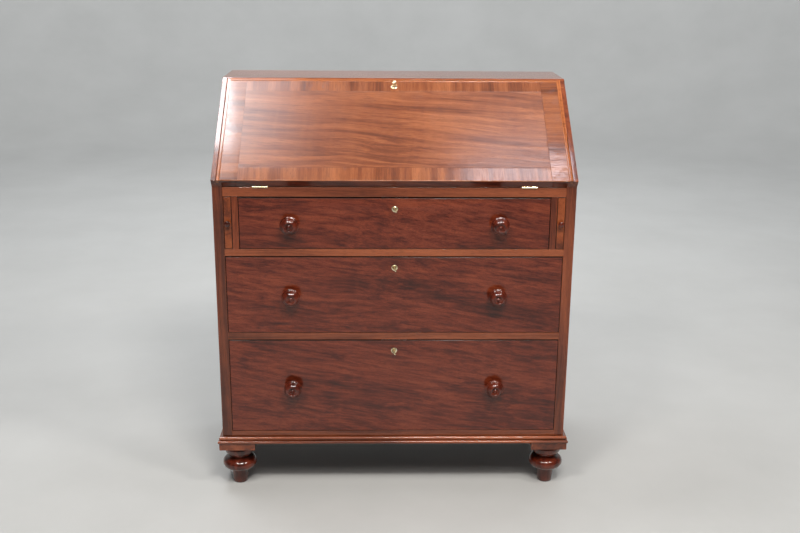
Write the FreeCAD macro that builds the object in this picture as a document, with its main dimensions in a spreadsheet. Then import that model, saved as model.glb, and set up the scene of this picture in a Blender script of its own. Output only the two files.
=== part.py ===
"""Slant-front secretary desk (bureau) with three long drawers, two lopers and a fitted interior.

Frame: +X to the user's right, -Y towards the user, +Z up, millimetres. The origin is the middle of the
underside of the whole desk's box. The drawings below measure depth from the case front (front plane)
and every sub-part's Placement moves it back by front_plane.
"""
import FreeCAD, Part
import math
import os
import re
import Sketcher

doc = FreeCAD.newDocument("SecretaryDesk")

# ---------------------------------------------------------------- driving dimensions
SIZES = [
    ("front_plane", -208.25, "case front, measured from the origin along Y"),
    ("case_width", 920.0, "outside width over the two sides"),
    ("case_depth", 455.0, "front plane to the back of the sides"),
    ("total_height", 1080.0, "floor to the top surface"),
    ("side_thick", 26.0, "side boards"),
    ("strip_wide", 12.5, "part of each side that shows beside the fall"),
    ("top_thick", 20.0, "top board"),
    ("writing_level", 837.0, "writing bed and fall hinge axis"),
    ("slope_angle", 38.5, "slope of the closed fall, from level"),
    ("fall_thick", 25.0, "fall panel"),
    ("lip_thick", 10.0, "lip of the fall that lies on the sides"),
    ("fall_length", 354.4, "hinge axis to the fall's top edge"),
    ("fall_gap", 0.6, "gap between the fall and its frame"),
    ("lipping_wide", 7.0, "edge strip round the fall"),
    ("bed_thick", 25.4, "writing bed and frieze rail"),
    ("frieze_deep", 60.0, "frieze rail, front to back"),
    ("case_bottom", 132.5, "underside of the case, on the foot blocks"),
    ("rail_thick", 18.5, "rails between the drawers"),
    ("rail_deep", 50.0, "rails, front to back"),
    ("upper_rail_top", 675.0, "top of the rail under the top drawer"),
    ("lower_rail_top", 447.5, "top of the rail under the middle drawer"),
    ("bottom_rail_top", 167.0, "top of the bottom rail"),
    ("dust_thick", 8.0, "dustboards behind the rails"),
    ("floor_thick", 14.0, "case bottom board"),
    ("back_thick", 11.0, "back boards"),
    ("back_boards", 4, "number of back boards"),
    ("stile_wide", 16.3, "stiles beside the lopers"),
    ("stile_deep", 25.0, "stiles, front to back"),
    ("top_drawer_half", 396.3, "half the width of the top drawer's opening"),
    ("loper_length", 400.0, "loper, front to back"),
    ("loper_travel", 290.0, "how far a loper pulls out"),
    ("peg_height", 748.0, "height of the loper's stop peg"),
    ("drawer_gap", 1.2, "gap beside a drawer front"),
    ("drawer_drop", 2.8, "gap over a drawer front"),
    ("drawer_lift", 1.2, "gap under a drawer front"),
    ("runner_clear", 0.4, "drawer box over its runners"),
    ("loper_gap", 1.0, "gap beside and under a loper"),
    ("drawer_front", 20.0, "drawer front boards"),
    ("drawer_side", 9.0, "drawer side and back boards"),
    ("drawer_floor", 7.0, "drawer bottom boards"),
    ("drawer_depth", 420.0, "drawers, front to back"),
    ("knob_spread", 267.0, "drawer knobs, from the middle"),
    ("knob_drop", 1.0, "drawer knobs below the middle of their front"),
    ("key_drop", 28.0, "keyhole below the top edge of its board"),
    ("bolt_throw", 8.0, "travel of a lock bolt"),
    ("key_turn", 50.0, "how far the keys stand turned in their locks"),
    ("lock_half", 30.0, "half the width of a lock case"),
    ("lock_thick", 12.0, "lock cases"),
    ("hinge_spread", 339.3, "hinges, from the middle"),
    ("hinge_long", 39.0, "hinge along its pin"),
    ("leaf_deep", 25.0, "hinge leaf across its pin"),
    ("leaf_thick", 1.8, "hinge leaf"),
    ("knuckle_radius", 3.0, "hinge knuckles"),
    ("pin_radius", 1.5, "hinge pins"),
    ("moulding_high", 19.3, "base moulding"),
    ("moulding_proud", 12.5, "base moulding, out from the case"),
    ("block_high", 20.0, "foot blocks"),
    ("block_wide", 96.0, "foot blocks"),
    ("foot_spread", 422.0, "foot axis from the middle"),
    ("foot_inset", 40.0, "front foot axis behind the front plane"),
    ("bun_radius", 46.0, "widest part of a turned foot"),
    ("inner_front", 285.0, "front of the pigeonhole fitting"),
    ("inner_wood", 7.0, "boards of the pigeonhole fitting"),
    ("inner_half", 433.0, "half the width of the pigeonhole fitting"),
    ("inner_high", 221.0, "height of the pigeonhole fitting"),
    ("tier_high", 72.0, "height of the small drawers' tier"),
    ("small_drawer", 212.0, "width of a small drawer's opening"),
    ("pigeonholes", 6, "number of pigeonholes"),
]

sheet = doc.addObject("Spreadsheet::Sheet", "Sizes")
for row, (alias, number, meaning) in enumerate(SIZES, start=1):
    sheet.set(f"A{row}", meaning)
    sheet.set(f"B{row}", str(number))
    sheet.setAlias(f"B{row}", alias)
doc.recompute()

ALIASES = {alias for alias, _, _ in SIZES}
FALL = "the fall's own frame"
CASE = "the case frame"


def bind(text):
    """An expression over the sheet: each alias gets the sheet's name in front."""
    return re.sub(r"[A-Za-z_]+", lambda word: "Sizes." + word[0] if word[0] in ALIASES else word[0], str(text))


def number(text):
    """The value of an expression now."""
    return float(sheet.evalExpression(bind(text)))


# ---------------------------------------------------------------- heights and widths worked out from the sheet
SLOPE_TOP = "(total_height-writing_level-fall_thick*cos(slope_angle))/sin(slope_angle)"
INNER_FACE = "(case_width/2-side_thick)"
TOP_UNDER = "(total_height-top_thick)"
BED_UNDER = "(writing_level-bed_thick)"
BACK_FRONT = "(case_depth-back_thick)"
PLATE = (3.4, 11.4)
SLOT = (4.3, 9.7)
LOCK_RISE = "(key_drop-1.5)"


def slope_y(along, out):
    """Depth of a point given along the slope from the hinge axis, and out from the fall's inner face."""
    return f"(({along})*cos(slope_angle)-({out})*sin(slope_angle))"


def slope_z(along, out):
    """Height of a point given along the slope from the hinge axis, and out from the fall's inner face."""
    return f"(writing_level+({along})*sin(slope_angle)+({out})*cos(slope_angle))"


# ---------------------------------------------------------------- drawing helpers
def vector_text(x, y, z):
    return f"create(<<vector>>; {bind(x)}; {bind(y)}; {bind(z)})"


def turn_text(axis, angle):
    return f"create(<<rotation>>; {vector_text(*axis)}; {bind(angle)})"


def placement_text(x, y, z, axis=(1, 0, 0), angle=0):
    return f"create(<<placement>>; {vector_text(x, y, z)}; {turn_text(axis, angle)})"


def frame_text(frame):
    """The placement of a frame: the case, the fall on its hinge axis, or one lock at its key's axis."""
    if frame == CASE:
        return placement_text(0, "front_plane", 0)
    if frame == FALL:
        return placement_text(0, "front_plane", "writing_level", angle="slope_angle")
    y, z, tilt = frame
    return placement_text(0, f"{y}+front_plane", z, angle=tilt)


def put(piece, frame=CASE, x=0, y=0, z=0, axis=(1, 0, 0), angle=0):
    """Bind the piece's Placement: its frame's placement times its own place in that frame."""
    piece.setExpression("Placement", frame_text(frame) + " * " + placement_text(x, y, z, axis, angle))
    return piece


def board(name, x, y, z, frame=CASE):
    """A rectangular board between the two ends given for x, y and z."""
    box = doc.addObject("Part::Box", name)
    for side, ends in (("Length", x), ("Width", y), ("Height", z)):
        box.setExpression(side, bind(f"({ends[1]})-({ends[0]})"))
    return put(box, frame, x[0], y[0], z[0])


def plane_of(body, role):
    return next(feature for feature in body.Origin.OriginFeatures if feature.Role == role)


def outline(sketch, corners):
    """A closed outline. A corner is (x, y) or (x, y, r): r is the radius of the arc to the next corner,
    positive where the arc's centre is to the left of the way there, negative where it is to the right."""
    points = [FreeCAD.Vector(number(c[0]), number(c[1]), 0) for c in corners]
    count = len(corners)
    first = sketch.GeometryCount
    for i, corner in enumerate(corners):
        start, end = points[i], points[(i + 1) % count]
        if len(corner) == 2:
            sketch.addGeometry(Part.LineSegment(start, end), False)
            continue
        radius = number(corner[2])
        chord = end - start
        left = FreeCAD.Vector(-chord.y, chord.x, 0) / chord.Length
        drop = math.sqrt(max(radius * radius - chord.Length ** 2 / 4, 0.0))
        side = math.copysign(1.0, radius)
        centre = (start + end) / 2 + left * (drop * side)
        middle = centre - left * (abs(radius) * side)
        arc = Part.Arc(start, middle, end)
        sketch.addGeometry(arc, False)
    ends = []
    for i, corner in enumerate(corners):
        turned = len(corner) == 3 and number(corner[2]) < 0
        ends.append((2, 1) if turned else (1, 2))
    for i in range(count):
        follower = (i + 1) % count
        sketch.addConstraint(Sketcher.Constraint(
            "Coincident", first + i, ends[i][1], first + follower, ends[follower][0]))
    for i, corner in enumerate(corners):
        for kind, text, at in (("DistanceX", corner[0], points[i].x), ("DistanceY", corner[1], points[i].y)):
            if abs(at) < 1e-7:
                locked = -2 if kind == "DistanceX" else -1
                sketch.addConstraint(Sketcher.Constraint("PointOnObject", first + i, ends[i][0], locked))
                continue
            index = sketch.addConstraint(Sketcher.Constraint(kind, -1, 1, first + i, ends[i][0], at))
            sketch.setExpression(f"Constraints[{index}]", bind(text))
        if len(corner) == 3:
            size = abs(number(corner[2]))
            index = sketch.addConstraint(Sketcher.Constraint("Radius", first + i, size))
            sketch.setExpression(f"Constraints[{index}]", bind(f"abs({corner[2]})"))
    return sketch


def circle(sketch, x, y, radius):
    at = FreeCAD.Vector(number(x), number(y), 0)
    index = sketch.addGeometry(Part.Circle(at, FreeCAD.Vector(0, 0, 1), number(radius)), False)
    for kind, text, value, axis in (("DistanceX", x, at.x, -2), ("DistanceY", y, at.y, -1)):
        if abs(value) < 1e-7:
            sketch.addConstraint(Sketcher.Constraint("PointOnObject", index, 3, axis))
            continue
        spot = sketch.addConstraint(Sketcher.Constraint(kind, -1, 1, index, 3, value))
        sketch.setExpression(f"Constraints[{spot}]", bind(text))
    spot = sketch.addConstraint(Sketcher.Constraint("Radius", index, number(radius)))
    sketch.setExpression(f"Constraints[{spot}]", bind(radius))
    return sketch


def rectangle(x, y):
    """The four corners of a rectangle between the two ends given for x and y."""
    return [(x[0], y[0]), (x[1], y[0]), (x[1], y[1]), (x[0], y[1])]


def new_body(name):
    return doc.addObject("PartDesign::Body", name)


def sketch_on(body, role, offset=0):
    """A new sketch of the body on one of its own origin planes, moved along the plane's normal."""
    sketch = body.newObject("Sketcher::SketchObject", body.Name + "_sketch")
    sketch.AttachmentSupport = [(plane_of(body, role), "")]
    sketch.MapMode = "FlatFace"
    if offset != 0:
        sketch.setExpression("AttachmentOffset.Base.z", bind(offset))
    return sketch


def pad(body, sketch, length, both_ways=False, backwards=False):
    feature = body.newObject("PartDesign::Pad", body.Name + "_pad")
    feature.Profile = sketch
    feature.setExpression("Length", bind(length))
    feature.Midplane = both_ways
    feature.Reversed = backwards
    doc.recompute()
    return feature


def pocket(body, sketch, length, both_ways=False, backwards=False):
    """A pocket that is checked to take something away."""
    before = body.Shape.Volume
    feature = body.newObject("PartDesign::Pocket", body.Name + "_pocket")
    feature.Profile = sketch
    feature.setExpression("Length", bind(length))
    feature.Midplane = both_ways
    feature.Reversed = backwards
    doc.recompute()
    if body.Shape.Volume > before - 1e-6:
        raise RuntimeError(f"{feature.Name} cuts nothing")
    return feature


def turned(name, profile, upright=True):
    """A turned piece: the profile's x is its radius and y runs along its axis, Z or, if not upright, Y."""
    body = new_body(name)
    sketch = sketch_on(body, "XZ_Plane" if upright else "XY_Plane")
    outline(sketch, profile)
    revolution = body.newObject("PartDesign::Revolution", name + "_turning")
    revolution.Profile = sketch
    revolution.ReferenceAxis = (sketch, ["V_Axis"])
    revolution.Angle = 360.0
    doc.recompute()
    return body


def group(label, pieces):
    """Separate solids that share one node."""
    compound = doc.addObject("Part::Compound", label)
    compound.Links = pieces
    return keep(label, compound)


NODES = []


def keep(label, piece):
    """Name a sub-part; its label is its file's name."""
    piece.Label = label
    NODES.append(piece)
    return piece


def cut(name, base, tools):
    """The base without the tools, one after another."""
    for i, tool in enumerate(tools):
        result = doc.addObject("Part::Cut", f"{name}_{i}")
        result.Base = base
        result.Tool = tool
        base = result
    return base


def joined(name, pieces):
    fusion = doc.addObject("Part::MultiFuse", name)
    fusion.Shapes = pieces
    return fusion


def rod(name, radius, start, length, frame=CASE, y=0, z=0):
    """A round bar along X from start."""
    bar = doc.addObject("Part::Cylinder", name)
    bar.setExpression("Radius", bind(radius))
    bar.setExpression("Height", bind(length))
    return put(bar, frame, start, y, z, axis=(0, 1, 0), angle=90)


# ---------------------------------------------------------------- case
SIDES = (("left", -1), ("right", 1))


def make_sides():
    """The sides: the outer strip is flush with the closed fall, the inner part is rebated for the fall's
    lip along the slope and for the back boards."""
    seat = "(fall_thick-lip_thick-0.4)"
    slope_end = f"({TOP_UNDER}-writing_level)"
    for hand, way in SIDES:
        body = new_body("side_" + hand)
        outer = sketch_on(body, "YZ_Plane")
        slope_top = f"(({slope_end}-fall_thick*cos(slope_angle))/tan(slope_angle)-fall_thick*sin(slope_angle))"
        outline(outer, [
            (0, "case_bottom"), (0, "writing_level"),
            (slope_y(0, "fall_thick"), slope_z(0, "fall_thick")), (slope_top, TOP_UNDER),
            ("case_depth", TOP_UNDER), ("case_depth", "case_bottom")])
        pad(body, outer, "strip_wide", backwards=(way < 0))
        inner = sketch_on(body, "YZ_Plane")
        outline(inner, [
            (0, "case_bottom"), (0, "writing_level"),
            (slope_y(0, seat), slope_z(0, seat)),
            (f"({slope_end}-{seat}*cos(slope_angle))/tan(slope_angle)-{seat}*sin(slope_angle)", TOP_UNDER),
            (BACK_FRONT, TOP_UNDER), (BACK_FRONT, "case_bottom")])
        pad(body, inner, "side_thick-strip_wide", backwards=(way > 0))
        put(body, x=f"{way}*(case_width/2-strip_wide)")
        keep("side_" + hand, body)


def make_top():
    """The top board lies on the sides; its front edge takes the fall's top edge, and holds the mortise
    and the recess of the strike plate."""
    body = new_body("top_board_blank")
    whole = sketch_on(body, "YZ_Plane")
    tip = slope_y(SLOPE_TOP, "fall_thick")
    slope_foot = f"(({TOP_UNDER}-writing_level)-fall_thick*cos(slope_angle))/tan(slope_angle)" \
        "-fall_thick*sin(slope_angle)"
    outline(whole, [(tip, "total_height"), (slope_foot, TOP_UNDER), ("case_depth", TOP_UNDER),
                    ("case_depth", "total_height")])
    pad(body, whole, "case_width", both_ways=True)
    edge = "(fall_length+fall_gap)"
    notch = sketch_on(body, "YZ_Plane")
    under = f"(({TOP_UNDER}-writing_level-{edge}*sin(slope_angle))/cos(slope_angle))"
    outline(notch, [(slope_y(edge, "fall_thick+20"), slope_z(edge, "fall_thick+20")),
                    (slope_y(edge, f"{under}-8"), slope_z(edge, f"{under}-8")),
                    (slope_y(f"{edge}-60", f"{under}-8"), slope_z(f"{edge}-60", f"{under}-8")),
                    (slope_y(f"{edge}-60", "fall_thick+20"), slope_z(f"{edge}-60", "fall_thick+20"))])
    pocket(body, notch, "2*(case_width/2-strip_wide)", both_ways=True)
    keep("top_board", cut("top_board_cut", put(body), [
        board("strike_recess", ("-lock_half+14", "lock_half-14"), (edge, f"{edge}+1.5"),
              PLATE, FALL),
        board("strike_mortise", (-11, 11), (edge, f"{edge}+12"), SLOT, FALL)]))
    plate = board("strike_blank", ("-lock_half+14", "lock_half-14"), (edge, f"{edge}+1.5"),
                  PLATE, FALL)
    slot = board("strike_slot", (-11, 11), (f"{edge}-1", f"{edge}+3"), SLOT, FALL)
    keep("strike_plate", cut("strike_plate_cut", plate, [slot]))


def make_case_boards():
    """Writing bed, rails, dustboards, bottom, stiles and partitions beside the lopers, and the back."""
    width = (f"-{INNER_FACE}", INNER_FACE)
    keep("writing_bed", board("writing_bed", width, ("frieze_deep", BACK_FRONT), (BED_UNDER, "writing_level")))
    behind = ("rail_deep", BACK_FRONT)
    rails = []
    dust = []
    for name, top in (("upper", "upper_rail_top"), ("lower", "lower_rail_top")):
        blank = board(name + "_rail_blank", width, (0, "rail_deep"), (f"{top}-rail_thick", top))
        mortise = bolt_mortise(name + "_rail_mortise", f"{top}-rail_thick")
        rails.append(cut(name + "_rail", blank, [mortise]))
        dust.append(board(name + "_dustboard", width, behind, (f"{top}-dust_thick", top)))
    group("drawer_rails", rails)
    group("dustboards", dust)
    keep("bottom_rail", board("bottom_rail", width, (0, "rail_deep"), ("case_bottom", "bottom_rail_top")))
    keep("bottom_board", board("bottom_board", width, behind, ("bottom_rail_top-floor_thick", "bottom_rail_top")))
    stiles = []
    partitions = []
    outer_edge = "(top_drawer_half+stile_wide)"
    for hand, way in SIDES:
        ends = sorted((f"{way}*top_drawer_half", f"{way}*{outer_edge}"), key=number)
        stiles.append(board(f"stile_{hand}", ends, (0, "stile_deep"), ("upper_rail_top", BED_UNDER)))
        blank = board(f"partition_blank_{hand}", ends, ("stile_deep", BACK_FRONT), ("upper_rail_top", BED_UNDER))
        groove_ends = sorted((f"{way}*({outer_edge}-9)", f"{way}*({outer_edge}+1)"), key=number)
        groove = board(f"peg_groove_{hand}", groove_ends,
                       ("loper_length-loper_travel-14", "case_depth"), ("peg_height-5", "peg_height+5"))
        partitions.append(cut(f"partition_{hand}", blank, [groove]))
    group("loper_stiles", stiles)
    group("loper_partitions", partitions)
    backs = []
    count = int(number("back_boards"))
    for i in range(count):
        reach = "(2*(case_width/2-strip_wide)/back_boards)"
        low = f"-(case_width/2-strip_wide)+{i}*{reach}"
        backs.append(board(f"back_{i}", (low + "+0.3", f"{low}+{reach}-0.3"), (BACK_FRONT, "case_depth"),
                           ("case_bottom", TOP_UNDER)))
    group("back_boards", backs)


def bolt_mortise(name, underside):
    """The slot in the underside of a rail that a drawer's lock bolt rises into."""
    return board(name, (-11, 11), ("drawer_front-10", "drawer_front-3"),
                 (f"{underside}-1", f"{underside}+bolt_throw+4"))


def hinge_spots():
    return [(hand, f"({way}*hinge_spread)") for hand, way in SIDES]


def hinge_clearances(prefix, frame, level, low, high):
    """Round room for the knuckles and the leaf's recess, for both hinges."""
    tools = []
    for hand, middle in hinge_spots():
        start = f"{middle}-hinge_long/2-0.2"
        tools.append(rod(f"{prefix}_room_{hand}", "knuckle_radius+0.4", start, "hinge_long+0.4", frame, z=level))
        tools.append(board(f"{prefix}_recess_{hand}", (start, f"{middle}+hinge_long/2+0.2"),
                           (-1, "leaf_deep+0.2"), (low, high), frame))
    return tools


def screw_holes(prefix, frame, head, tip):
    """The holes that the hinge screws fill, three to each leaf."""
    tools = []
    for hand, middle in hinge_spots():
        for i in (-1, 0, 1):
            hole = doc.addObject("Part::Cylinder", f"{prefix}_hole_{hand}_{i + 1}")
            hole.Radius = 1.4
            hole.setExpression("Height", bind(f"abs(({head})-({tip}))"))
            low = head if number(head) < number(tip) else tip
            tools.append(put(hole, frame, f"{middle}+{i}*hinge_long/3.2", f"leaf_deep*{0.5 if i else 0.72}", low))
    return tools


def make_hinges():
    """Two butt hinges: plates with their screws, and the pins, which stay with the bed's plates."""
    segment = "(hinge_long/5)"
    for label, frame, level, low, high, own, hole in (
            ("bed", CASE, "writing_level", "writing_level-leaf_thick", "writing_level", (0, 2, 4), "pin_radius"),
            ("fall", FALL, "0", "0", "leaf_thick", (1, 3), "pin_radius+0.05")):
        pieces = []
        for hand, middle in hinge_spots():
            name = f"{label}_plate_{hand}"
            start = f"({middle}-hinge_long/2)"
            leaf = board(name + "_leaf", (start, f"{middle}+hinge_long/2"), (0, "leaf_deep"), (low, high), frame)
            knuckles = [rod(f"{name}_knuckle_{i}", "knuckle_radius", f"{start}+{i}*{segment}+0.1",
                            f"{segment}-0.2", frame, z=level) for i in own]
            others = [rod(f"{name}_room_{i}", "knuckle_radius+0.3", f"{start}+{i}*{segment}-0.1",
                          f"{segment}+0.2", frame, z=level) for i in range(5) if i not in own]
            clear_leaf = cut(name + "_clear", leaf, others)
            shape = joined(name + "_whole", [clear_leaf] + knuckles)
            bore = rod(name + "_bore", hole, f"{start}-1", "hinge_long+2", frame, z=level)
            screws = []
            sinks = []
            for i in (-1, 0, 1):
                x = f"{middle}+{i}*hinge_long/3.2"
                y = f"leaf_deep*{0.5 if i else 0.72}"
                face = high if label == "bed" else low
                way = -1 if label == "bed" else 1
                for target, tag in ((screws, "screw"), (sinks, "sink")):
                    head = doc.addObject("Part::Cone", f"{name}_{tag}_head_{i + 1}")
                    head.Radius1 = 3.0
                    head.Radius2 = 1.4
                    head.Height = number("leaf_thick")
                    put(head, frame, x, y, face, angle=180 if way < 0 else 0)
                    target.append(head)
                shank = doc.addObject("Part::Cylinder", f"{name}_shank_{i + 1}")
                shank.Radius = 1.4
                shank.Height = 12.0
                put(shank, frame, x, y, f"{face}+{way}*leaf_thick", angle=180 if way < 0 else 0)
                screws[-1] = joined(f"{name}_screw_{i + 1}", [screws[-1], shank])
            pieces.append(cut(name, shape, [bore] + sinks))
            pieces.extend(screws)
        group(f"hinge_plates_{label}", pieces)
    pins = [rod(f"hinge_pin_{hand}", "pin_radius", f"{middle}-hinge_long/2", "hinge_long", z="writing_level")
            for hand, middle in hinge_spots()]
    group("hinge_pins", pins)


def make_frieze_rail():
    """The rail over the top drawer carries the hinges; the top drawer's bolt rises into it."""
    blank = board("frieze_blank", (f"-{INNER_FACE}", INNER_FACE), (0, "frieze_deep"),
                  (BED_UNDER, "writing_level"))
    tools = hinge_clearances("frieze", CASE, "writing_level", "writing_level-leaf_thick", "writing_level+1")
    tools += screw_holes("frieze", CASE, "writing_level-leaf_thick", "writing_level-leaf_thick-12")
    tools.append(bolt_mortise("frieze_mortise", BED_UNDER))
    keep("frieze_rail", cut("frieze_rail_cut", blank, tools))


def make_base():
    """Base moulding of two beads on the front and sides, foot blocks and turned feet."""
    top = "(case_bottom+moulding_high)"
    bead = [(0, "case_bottom"), ("3-moulding_proud", "case_bottom", -4.4),
            ("3-moulding_proud", "case_bottom+8.4"), ("5.5-moulding_proud", "case_bottom+9"),
            ("6.5-moulding_proud", "case_bottom+9.6", -5.2), ("6.5-moulding_proud", top), (0, top)]
    pieces = []
    front = new_body("moulding_front")
    sketch = sketch_on(front, "YZ_Plane")
    outline(sketch, bead)
    pad(front, sketch, "case_width+2*moulding_proud", both_ways=True)
    for way in (-1, 1):
        mitre = sketch_on(front, "XY_Plane")
        outline(mitre, [(f"{way}*case_width/2", 0), (f"{way}*(case_width/2+30)", -30),
                        (f"{way}*(case_width/2+30)", 10), (f"{way}*case_width/2", 10)])
        pocket(front, mitre, "2*total_height", both_ways=True)
    pieces.append(put(front))
    for hand, way in SIDES:
        body = new_body("moulding_" + hand)
        sketch = sketch_on(body, "XZ_Plane")
        outline(sketch, [(f"{way}*(case_width/2-({corner[0]}))",) + tuple(corner[1:2])
                         + tuple(f"{-way}*({r})" for r in corner[2:]) for corner in bead])
        pad(body, sketch, "2*case_depth", both_ways=True)
        ends = sketch_on(body, "XY_Plane")
        beyond = f"{way}*(case_width/2+30)"
        within = f"{way}*(case_width/2-10)"
        outline(ends, [(f"{way}*case_width/2", 0), (beyond, -30), (beyond, "-case_depth-20"),
                       (within, "-case_depth-20"), (within, 0)])
        pocket(body, ends, "2*total_height", both_ways=True)
        pieces.append(put(body))
    group("base_mouldings", pieces)

    block_top = "case_bottom"
    block_under = "(case_bottom-block_high)"
    blocks = []
    for row, depth in (("front", "foot_inset"), ("rear", "(case_depth-block_wide/2)")):
        feet = []
        for hand, way in SIDES:
            blocks.append(board(f"block_{row}_{hand}",
                                (f"{way}*foot_spread-block_wide/2", f"{way}*foot_spread+block_wide/2"),
                                (f"{depth}-block_wide/2", f"{depth}+block_wide/2"), (block_under, block_top)))
            feet.append(make_foot(f"foot_{row}_{hand}", f"{way}*foot_spread", depth, block_under))
        group(f"{row}_feet", feet)
    group("foot_blocks", blocks)


def make_foot(name, x, y, height):
    """A turned foot: a bowl under the block, a neck, a wide bun and a short round stub."""
    body = turned(name, [
        (0, 0), (18, 0), (19.5, 1.5), (23.5, 39), (25, 42.5),
        ("bun_radius-9.5", 45, 15.82), ("bun_radius", 59.5, 15.82), ("bun_radius-9.5", 74), (27, 76.5),
        (25.5, 78), (25.5, 80), (31, 82.5, 27), (41, 101, 7), (37.5, 109.5), (36, 111), (36, height),
        (0, height)])
    return put(body, x=x, y=y)


# ---------------------------------------------------------------- fall
def make_fall():
    """The fall: a thick panel between the sides with a lip over their rebates, edge strips, a leather
    writing skin let into its inner face, and recesses for its hinges and lock. Its own frame has the
    hinge axis along X, Y up the slope and Z out of the inner face."""
    core_half = f"({INNER_FACE}-fall_gap)"
    lip_half = "(case_width/2-strip_wide-fall_gap)"
    strip_top = "(fall_length-lipping_wide)"
    lip_low = "(fall_thick-lip_thick)"
    body = new_body("fall_blank")
    core = sketch_on(body, "XY_Plane")
    outline(core, rectangle((f"-{core_half}", core_half), (0.5, "fall_length")))
    pad(body, core, "fall_thick")
    lips = sketch_on(body, "XY_Plane", lip_low)
    outline(lips, rectangle((f"-({lip_half}-lipping_wide)", f"{lip_half}-lipping_wide"), (0.5, "fall_length")))
    pad(body, lips, "lip_thick")
    top_edge = sketch_on(body, "XY_Plane", lip_low)
    outline(top_edge, rectangle((f"-{lip_half}", lip_half), (strip_top, "fall_length+1")))
    pocket(body, top_edge, "lip_thick+1", backwards=True)
    leather = sketch_on(body, "XY_Plane")
    outline(leather, rectangle((-385, 385), (42, 300)))
    pocket(body, leather, "1.2", backwards=True)
    put(body, FALL)
    tools = hinge_clearances("fall", FALL, "0", "-1", "leaf_thick")
    tools += screw_holes("fall", FALL, "leaf_thick", "leaf_thick+12")
    tools += lock_room("fall_room", FALL_LOCK, "fall_thick")
    keep("fall_panel", cut("fall_panel_cut", body, tools))

    strips = []
    for hand, way in SIDES:
        ends = sorted((f"{way}*({lip_half}-lipping_wide)", f"{way}*{lip_half}"), key=number)
        strips.append(board(f"lipping_{hand}", ends, (0.5, "fall_length"), (lip_low, "fall_thick"), FALL))
    strips.append(board("lipping_top", (f"-({lip_half}-lipping_wide)", f"{lip_half}-lipping_wide"),
                        (strip_top, "fall_length"), (lip_low, "fall_thick"), FALL))
    group("fall_lippings", strips)
    keep("writing_leather", board("writing_leather", (-385, 385), (42, 300), (0, 1.2), FALL))


# ---------------------------------------------------------------- locks, keys and escutcheons
FALL_LOCK = (slope_y("fall_length-key_drop", "fall_thick"), slope_z("fall_length-key_drop", "fall_thick"),
             "slope_angle-90")


def drawer_lock(top):
    return (0, f"({top}-key_drop)", "0")


def lock_room(prefix, frame, thick):
    """What a board loses to its lock: the case's recess, the selvedge's recess and the keyhole."""
    hole = doc.addObject("Part::Cylinder", prefix + "_keyhole")
    hole.Radius = 3.4
    hole.setExpression("Height", bind(f"{thick}-lock_thick+2"))
    put(hole, frame, y=f"{thick}-lock_thick+1", angle=90)
    return [
        board(prefix + "_case", ("-lock_half", "lock_half"), (f"{thick}-lock_thick", f"{thick}+1"),
              (-14, "key_drop+1"), frame),
        board(prefix + "_selvedge", ("-lock_half-4", "lock_half+4"), (f"{thick}-lock_thick-2", f"{thick}+1"),
              (LOCK_RISE, "key_drop+1"), frame),
        board(prefix + "_escutcheon", (-1.5, 1.5), (-1, f"{thick}-lock_thick+1"), (-8.5, 0), frame),
        hole]


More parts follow.
